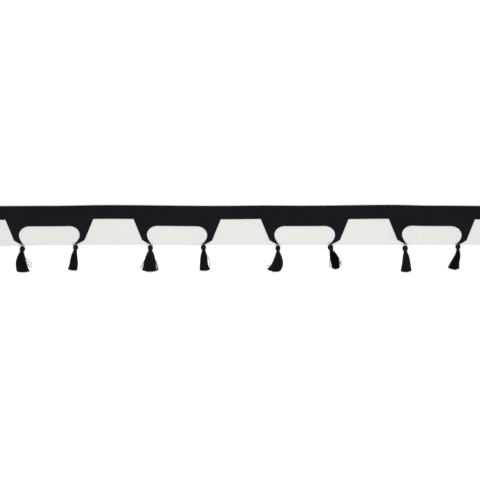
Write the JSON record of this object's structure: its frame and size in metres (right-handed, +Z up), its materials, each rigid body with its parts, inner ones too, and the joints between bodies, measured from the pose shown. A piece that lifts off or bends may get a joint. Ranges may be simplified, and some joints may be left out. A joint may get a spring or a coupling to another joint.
{
  "type": "pagoda trim",
  "caption": "Flat decorator's trim: ivory tape faced with a black border of pagoda roofs with arches and hooked eaves, and a black thread tassel looped to each eave tip.",
  "frame": {"origin": "on the back of the tape, at the middle of its length and width, which is the surface that the trim lies on", "axes": "+X along the tape, +Y across it towards the border's straight top edge, +Z up out of the face"},
  "size_m": [0.64, 0.0837, 0.0073],
  "materials": {
    "ivory_tape": "matte",
    "black_cloth": "matte",
    "black_thread": "satin"
  },
  "bodies": {
    "root": {"ground_tape": "ivory_tape", "pagoda_border": "black_cloth", "tassel_1": "black_thread", "tassel_2": "black_thread", "tassel_3": "black_thread", "tassel_4": "black_thread", "tassel_5": "black_thread", "tassel_6": "black_thread", "tassel_7": "black_thread", "tassel_8": "black_thread"}
  },
  "joints": []
}
